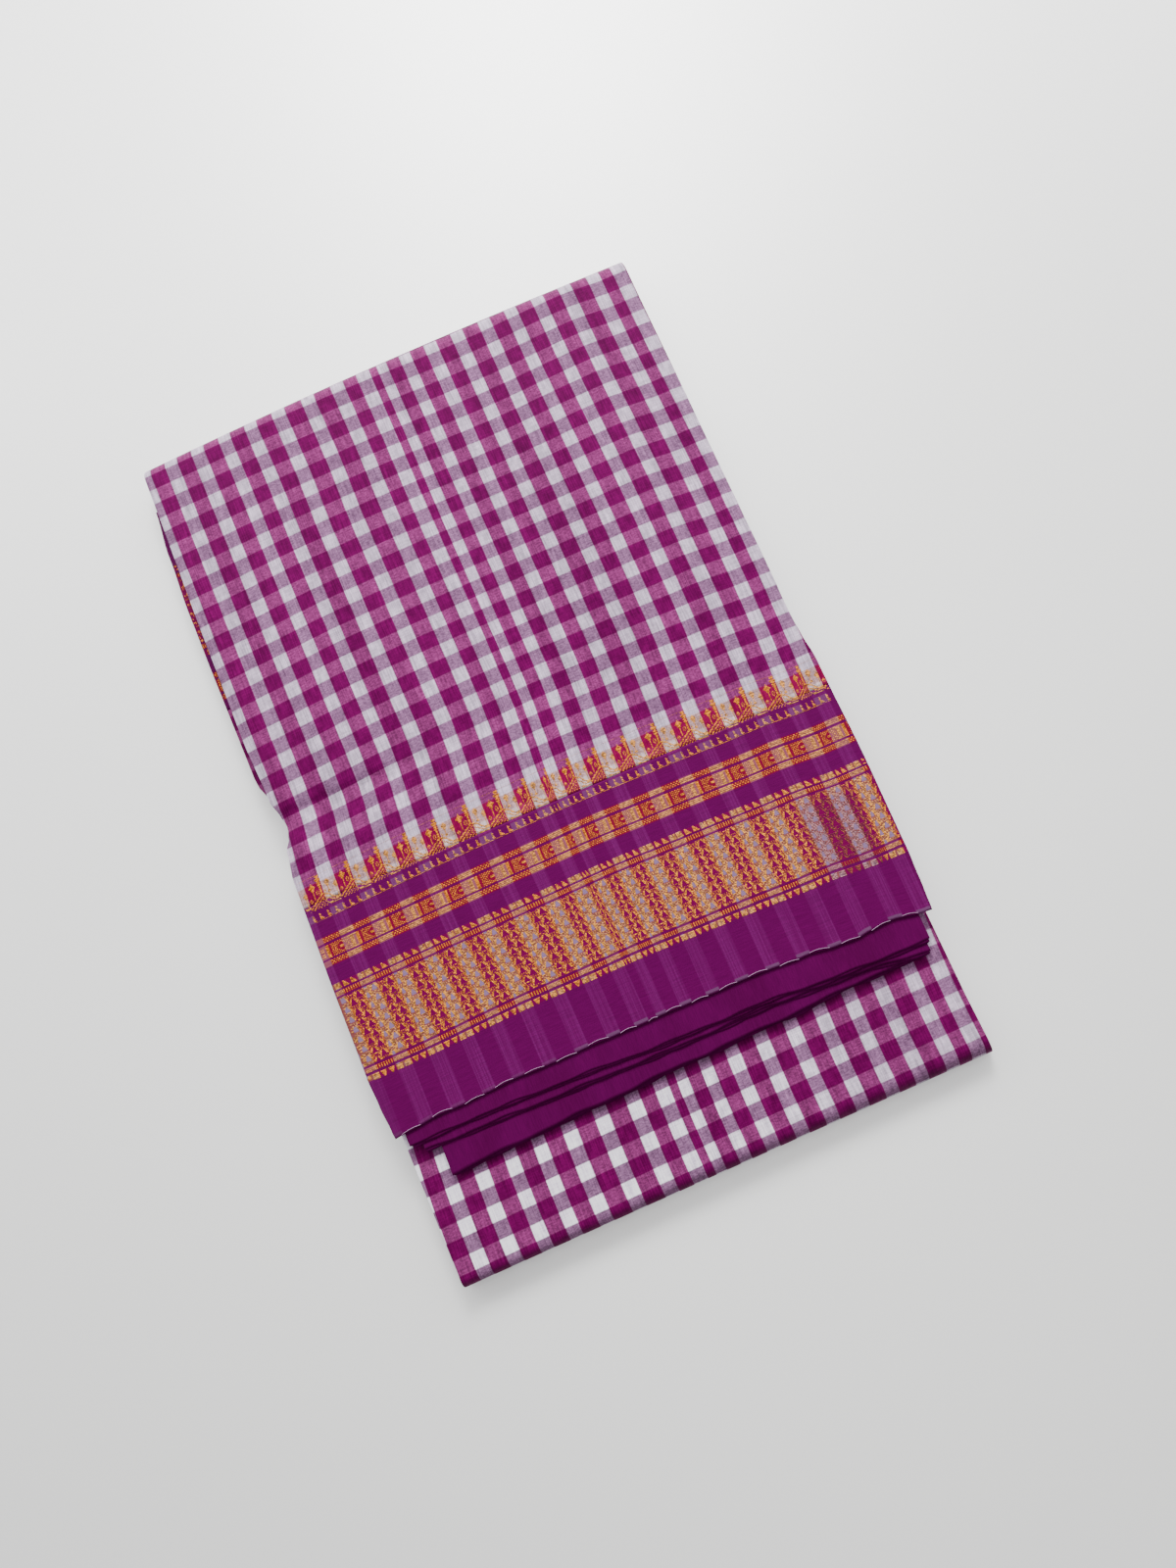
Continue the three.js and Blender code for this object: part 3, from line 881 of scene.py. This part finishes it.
# The temple row's chart, and under it the chart of small teeth; a cell is two units wide.
TEMPLE_ROWS = [
    "            ####              ",
    "            ####              ",
    "             ##               ",
    "           ######             ",
    "           ######             ",
    "      #     ####              ",
    "      #      ##      #        ",
    "     ###    ####    ###       ",
    "    #####    ##    #####      ",
    "   #######  ####   #####      ",
    "    #####    ##    #####    # ",
    "     ###     ##     ###     # ",
    "     ###     ##     ###    ###",
    "      #   #  ##      #    ####",
    "      #  # # ##      #    ####",
    "      #  # # ##  #   #     ###",
    "      #  # # ##  ##  #     ###",
    "      #   #  ##  #  ###     # ",
    "      #     ######  ###     # ",
    "  #   #    ###  ####        # ",
    " ###  #   ##   ## ###       # ",
    " # #    ###  ##  #  ##      # ",
    "  #    ##   ##  ##   ##     # ",
    "     ###  ##  #  ### ###    # ",
    "    ##   ##  #  #  ## ###   # ",
    "  ###  ##   #  #    ##  ######",
    " ##   ##  #  #  #    ### #####",
    "##  ##  #  #  #  #     #######",
    "#  ##  #  #  #  # ####        ",
    "  ##  #  #  #  #   ########## ",
]
TOOTH_ROWS = [
    "     #       #       #      # ",
    "     ##      ##      ##     ##",
    "     #       #       #      # ",
    "     ##      ##      ##     ##",
    "     ###     ###     ###    ##",
    "#    ####    ####    ####   ##",
]


def charted(rows, first, pitch, height):
    """Runs of gold from a drawn chart whose cells are two units wide."""
    found = []
    for k, row in enumerate(rows):
        on = np.array([0] + [c == "#" for c in row] + [0], dtype=int)
        ends = np.flatnonzero(np.diff(on))
        found += [(2.0 * a, 2.0 * b, first + pitch * k, height) for a, b in zip(ends[::2], ends[1::2])]
    return found


def drawn(table, step=0.5):
    """Runs of gold where each motif of a table is true along its rows."""
    found = []
    x = np.arange(0, PERIOD, step) + step / 2
    for motif, first, pitch, rows, height in table:
        for v in first + pitch * np.arange(rows):
            on = np.concatenate([[0], np.where(motif(x, v), 1, 0), [0]])
            ends = np.flatnonzero(np.diff(on))
            found += [(step * a, step * b, v, height) for a, b in zip(ends[::2], ends[1::2])]
    return found


def dots(x, v):
    """Dash band: rows of short floats on purple, whole lines on white."""
    brick = np.round((v - 963.0) / 3.1) % 2 * 0.5
    return (x > PURPLE_WIDE) | ((x / 5.5 + brick) % 1 < 0.55)


def ticks(x, v):
    """Rows of short upright ticks, close on white and open on purple."""
    return np.where(x > PURPLE_WIDE, (x / 2.7) % 1 < 0.6, (x / 4.71) % 1 < 0.36)


def rosette(x, v):
    """Strokes that run in to a small gold centre, then bars and a gap."""
    x = (x - 9) % PERIOD
    dx, dy = np.abs(x - 20), abs(v - 988)
    rays = ((0.75 * dx - dy) / 4.0 + 0.15) % 1 < 0.5
    rays = np.where(dx + dy < 9, (dx < 4.2) & (dy < 2.4), rays)
    rim = (dy > 10.4) & (x > 33)
    bars = ((x > 38) & (x < 45)) | ((x > 49) & (x < 55.5))
    return np.where(x > 33, bars | rim | ((x < 38) & rays), rays) & (x < 56)


# middles of the columns of triangles, in units across a period
COLUMNS = (8.0, 22.0, 37.5, 52.0)


def triangles(x, v, wider=0.0):
    """Four columns of small triangles, or the gold within some units of their flanks."""
    found = np.zeros(len(x), dtype=bool)
    for k, column in enumerate(COLUMNS):
        up = (v - 1096.2 - (9.0 if k % 2 else 0.0)) % TRIANGLE_PITCH
        half = np.where((up > 5.0) & (up < 16.2), (up - 5.0) * 0.5 + 1.0, -wider)
        found |= np.abs(x - column) < half * (0.7 if k == 2 else 1.0) + wider
    return found


def lattice(x, v):
    """Close gold with a small triangle in every diamond of a net of paired thin lines."""
    bare = triangles(x, v)
    for slope in (0.6, -0.6):
        off = np.abs((v - 1106.7 + slope * (x - 8)) % TRIANGLE_PITCH - TRIANGLE_PITCH / 2)
        bare |= np.where(x < PURPLE_WIDE, (off > 0.5) & (off < 1.6), off < 0.6)
    return ~bare


def painted_highlight_level(x, v):
    """How much painted highlight the gold gets: full beside the lattice's triangles, and painted shade in its
    net.
    """
    in_lattice = (v > 1073) & (v < 1200)
    return np.where(in_lattice, np.where(triangles(x, v, 2.6), 1.0, 0.0), 0.55)


def low_teeth(x, v):
    """Teeth that stand on the lattice's upper edge, and blocks on white."""
    t = (v - 1047) / 11
    return ((x - 4.0) % 15.6 < 2 + 10 * t) | (x > PURPLE_WIDE) & ((x // 3) % 2 == 0)


def hanging_teeth(x, v):
    """Teeth that hang from the lattice's lower edge, and blocks on white."""
    t = (v - 1215) / 11
    return (np.abs((x - 3) % 15 - 6.0) < 6.4 - 5.0 * t) | ((x > PURPLE_WIDE) & ((x // 4) % 2 == 0))


def on_flap(count, v):
    """Place along and across the path of a spot in the flap's weave."""
    c = from_count(count)
    w = c + lean(c, v)
    down = v + droop(w, v)
    w = c + lean(w, down)
    return (ROW_ZERO - v - droop(w, down)) * UNIT - FLAP_START_Y, w


def zari_piece(name, found, height, round_ends=True, periods=range(-1, len(STRIPES)), weave_in=on_flap):
    """Lays every run as a low ridge on the cloth, over the given periods of the border."""
    one = bmesh.new()
    for x0, x1, v, high in found:
        spot = Matrix.Translation(((x0 + x1) / 2, v, 0)) @ Matrix.Diagonal((x1 - x0, high, 1, 1))
        columns = 3 if round_ends else max(1, int((x1 - x0) / 5))
        made = bmesh.ops.create_grid(one, x_segments=columns, y_segments=3, size=0.5, matrix=spot)
        soft = min(0.7, 0.3 * (x1 - x0))
        for vert in made["verts"]:
            from_middle = vert.co.x - (x0 + x1) / 2
            inner = abs(vert.co.y - v) < 0.4 * high
            if round_ends and abs(from_middle) < 0.4 * (x1 - x0):
                vert.co.x = x1 - soft if from_middle > 0 else x0 + soft
            elif round_ends:
                inner = False
            vert.co.z = 1.0 if inner else -0.3
    repeat = bpy.data.meshes.new("repeat")
    one.to_mesh(repeat)
    per_period = len(one.verts)
    one.free()
    bm = bmesh.new()
    for _ in periods:
        bm.from_mesh(repeat)
    bpy.data.meshes.remove(repeat)
    flat = np.array([v.co[:] for v in bm.verts])
    period = np.array(list(periods))[np.arange(len(flat)) // per_period]
    x = flat[:, 0]
    count = period + np.where(
        x < PURPLE_WIDE, x / PURPLE_WIDE / 2, 0.5 + (x - PURPLE_WIDE) / (PERIOD - PURPLE_WIDE) / 2
    )
    c, v = from_count(count), flat[:, 1]
    # painted highlight level of each spot of gold, carried in the second map
    painted_highlight_tone = painted_highlight_level(x, v)
    s, w = weave_in(count, v)
    places = lay(s, w, -0.01 - height * flat[:, 2])
    weave_map = bm.loops.layers.uv.new("weave")
    check_map = bm.loops.layers.uv.new("checks")
    bm.verts.index_update()
    for vert, place in zip(bm.verts, places):
        vert.co = place
    for face in bm.faces:
        for loop in face.loops:
            k = loop.vert.index
            loop[weave_map].uv = (c[k], v[k] * UNIT)
            loop[check_map].uv = (count[k], painted_highlight_tone[k])
    outside = (w < side_of(s, 1) + ZARI_MARGIN) | (w > side_of(s, 2) - ZARI_MARGIN)
    gone = [v for v, out in zip(bm.verts, outside) if out]
    bmesh.ops.delete(bm, geom=gone, context="VERTS")
    piece = add_piece(name, bm, zari_metal)
    return piece


FAINT_LINE = [(a, a + 2.6, 848.2, 0.7) for a in np.arange(0.4, PERIOD - 2.0, 4.0)]
zari_piece("temple_zari", charted(TEMPLE_ROWS, 850.0, 2.0, 2.0) + FAINT_LINE, 0.14)

# motif, first row, pitch of its rows, how many, height of a thread
ROSETTE_MOTIFS = [
    (dots, 963.0, 3.1, 3, 2.1),
    (rosette, 977.0, 2.0, 12, 1.8),
    (dots, 1005.0, 3.1, 3, 2.1),
]
LATTICE_MOTIFS = [
    (low_teeth, 1048.0, 2.1, 5, 1.9),
    (ticks, 1062.5, 2.6, 3, 2.4),
    (lattice, 1074.5, 2.45, 51, 2.25),
    (ticks, 1204.5, 2.6, 3, 2.4),
    (hanging_teeth, 1217.0, 2.1, 5, 1.9),
]
TOOTH_LINE = [(0.0, PURPLE_WIDE, 929.5, 0.9), (PURPLE_WIDE, PERIOD, 929.5, 0.9)]
ROSETTE_BAND = charted(TOOTH_ROWS, 917.0, 2.0, 1.9) + TOOTH_LINE + drawn(ROSETTE_MOTIFS)
zari_piece("rosette_zari", ROSETTE_BAND, 0.12)
LATTICE_BAND = drawn(LATTICE_MOTIFS)
zari_piece("lattice_zari", LATTICE_BAND, 0.1, round_ends=False)


# Selvedge thread: a white cotton yarn of the weft, carried along the hem from one pale block
# to the next. It lies on the cloth in a low arch and is held only where it is woven in.
THREAD_WHITE = "#a07a9c"
THREAD_RADIUS = 0.11
# Spun cotton: matt and slightly pink from the dye beside it
thread_yarn, tree = new_material("white_cotton_yarn")
yarn = node(tree, "BsdfPrincipled", {"Base Color": THREAD_WHITE, "Roughness": 0.8})
node(tree, "OutputMaterial", {"Surface": yarn})


def tube(bm, points, radius, sides=6):
    """A thin tube along points in metres, made as a grid that is rolled up."""
    rows = len(points)
    made = bmesh.ops.create_grid(bm, x_segments=sides, y_segments=rows - 1, size=0.5)
    ahead = np.gradient(points, axis=0)
    ahead /= np.linalg.norm(ahead, axis=1)[:, None]
    out = np.cross(ahead, [0, 0, 1.0])
    out /= np.linalg.norm(out, axis=1)[:, None] + 1e-9
    up = np.cross(out, ahead)
    for k, vert in enumerate(made["verts"]):
        i = round((vert.co.x + 0.5) * sides)
        j = round((vert.co.y + 0.5) * (rows - 1))
        angle = 2 * math.pi * i / sides
        vert.co = points[j] + radius * (math.cos(angle) * out[j] + math.sin(angle) * up[j])
    bmesh.ops.remove_doubles(bm, verts=made["verts"], dist=radius * 0.05)


thread_bm = bmesh.new()
hem_place = hem_line(FLAP_HEM, WANDER, WANDER_SEED)
for n in range(len(STRIPES)):
    t = np.linspace(0, 1, 15)
    count = n - 0.04 + 0.58 * t
    arch = np.sin(np.pi * t)
    w = from_count(count) + lean(from_count(count), HEM_V - 3)
    inside = (w > side_of(0.0, 1) + 1.0) & (w < side_of(0.0, 2) - 1.0)
    if inside.sum() < 4:
        continue
    w, arch = w[inside], arch[inside]
    rise = 0.55 * arch + 0.35 * np.sin(2.3 * n)
    path = lay(hem_place(w) + 0.35 + rise, w, -0.14 - 0.1 * arch)
    tube(thread_bm, path, THREAD_RADIUS * MM)
hem_thread = add_piece("hem_thread", thread_bm, thread_yarn)


# The tucked panel's end: the same border along the cloth's other selvedge. It lies under
# the flap, and only a sliver of it shows past the flap's upper left side.
TUCKED_DRAWN_IN = 0.92
TUCKED_SHIFT = 0.42


def tucked_weave(s, w):
    """The border's weave, counted from the tucked hem."""
    v = HEM_V - TUCKED_DRAWN_IN * (TUCKED_END - s) / UNIT
    return w, v * UNIT, to_count(w) + TUCKED_SHIFT, row_count(v)


tucked_end = lay_sheet(
    "tucked_end",
    border_silk,
    np.linspace(TUCKED_JOIN, TUCKED_END, 60),
    outer_section(60),
    tucked_weave,
    nodes=["tucked_border"],
)


def on_tucked(count, v):
    """Place along and across the path of a spot in the tucked border's weave."""
    return TUCKED_END - (HEM_V - v) * UNIT / TUCKED_DRAWN_IN, from_count(count - TUCKED_SHIFT)


zari_piece("tucked_zari", LATTICE_BAND + ROSETTE_BAND, 0.1, False, (-1, 0, 16, 17), on_tucked)


# Plain purple hem bands of inner layers: the same silk as the border's, without gold. Each
# is a few thin folded leaves whose hems step out a little from each other below the flap.
PLAIN = "#48003a"
PLAIN_DARK = "#420034"
# Filament silk in one colour: nearly matt, with faint uneven yarns
plain_silk, tree = new_material("plain_purple_silk")
weave, checks = weave_nodes(tree)
colour = tones(tree, streaks(tree, weave, 18.0, 40.0, seed=8.0), 0.3, 0.7, PLAIN_DARK, PLAIN)
yarns = tones(tree, streaks(tree, weave, 0.4, 8.0, seed=9.0), 0.3, 0.7, "#8a8a8a", "#efefef")
colour = node(tree, "Mix", 0.22, colour, yarns, **OVERLAY)
cloth_shader(tree, colour, weave, 0.6, 0.3)

# across and y of each layer's hem
HEM_A = [(-128, -144.7), (-92, -144.1), (-54, -144.9), (5, -147.0), (51, -147.3), (79, -149.4), (126, -150.2)]
HEM_B = [(-122, -149.0), (-96, -149.0), (-54, -149.7), (5, -150.4), (45, -149.8), (93, -151.5), (122, -155.2)]
HEM_C = [(-115, -163.6), (-92, -162.4), (-45, -160.5), (5, -158.6), (51, -157.4), (88, -155.6), (122, -155.4)]
LEAVES = 3
LEAF_SHIFT = 0.6
# node, hem, left, right, depth, step in depth, flat length
INNER = [
    ("inner_layer_a", HEM_A, -127.4, 125.2, 1.0, 0.35, 0.022),
    ("inner_layer_b", HEM_B, -121.6, 123.4, 2.1, 0.35, 0.026),
    ("inner_layer_c", HEM_C, -114.2, 121.8, 3.2, 0.8, 0.035),
]
for name, hem, left, right_side, depth, step, flat_length in INNER:
    for k in range(LEAVES):
        shift = LEAF_SHIFT * k
        leaf = lay_sheet(
            f"{name}_leaf_{k + 1}",
            plain_silk,
            np.linspace(0, STEP_JOIN, 26),
            lambda s: across(left + shift, right_side - shift, 90, 0.5, 12.0),
            back_weave,
            hem=hem_line([(w, y + LEAF_SHIFT - shift) for w, y in hem], 0.3, depth + 2.3 * k),
            nodes=[name] if k == 0 else (),
            thick=0.2,
            depth=depth + step * k,
        )


# Hidden layers: the strip's inner folds, of the same checked cloth. They are pressed flat
# inside the bundle and show as thin lips along both of its sides.
LIPS = 8


def lips_section(s, left):
    """A cloth folded to and fro at one side, from under the outer layer to the inside."""
    start = float(side_of(s, 1 if left else 2))
    near = float(1 - smooth((s - STEP_JOIN) / 34))
    sign = 1 if left else -1
    base = start + sign * (0.7 + 4.8 * near)
    tall = HIDDEN / LIPS
    places, depths = [base + sign * 9.0], [HIDDEN_TOP]
    for k in range(LIPS):
        slip = 0.55 * math.sin(2.1 * k + 0.4) + 0.3 * math.sin(s / 37 + 1.9 * k)
        for bend in np.linspace(0, math.pi, 6):
            places.append(base + sign * (tall / 2 + 0.8 + slip - tall * 0.62 * math.sin(bend)))
            depths.append(HIDDEN_TOP + tall * (k + (1 - math.cos(bend)) / 2 * 0.92 + 0.04))
        places.append(base + sign * 4.2)
        depths.append(HIDDEN_TOP + tall * (k + 1))
    return np.array(places), np.array(depths)


lip_stations = np.concatenate(
    [
        np.linspace(STEP_JOIN + 0.3, TOP_START, 90, endpoint=False),
        np.linspace(TOP_START, BASE_START, 22, endpoint=False),
        np.linspace(BASE_START, LOW_START, 90, endpoint=False),
        np.linspace(LOW_START, TUCKED_START, 16, endpoint=False),
        np.linspace(TUCKED_START, TUCKED_END - 1.5, 90),
    ]
)


def side_weave(s, w):
    """The warp stripes along the lips; none of the weft stripes shows there."""
    flap = row_count(ROW_ZERO - (FLAP_START_Y + s) / UNIT)
    low = (LOW_ROW_START - (s - TUCKED_START)) / LOW_ROW
    rows = np.where(s < BASE_START, flap, low)
    return s, w, 0 * w + 0.25, rows


for name, left in (("left_folds", True), ("right_folds", False)):
    folds = lay_sheet(
        name,
        checked,
        lip_stations,
        lambda s: lips_section(s, left),
        side_weave,
        nodes=["hidden_layers"] if left else (),
        thick=0.15,
    )
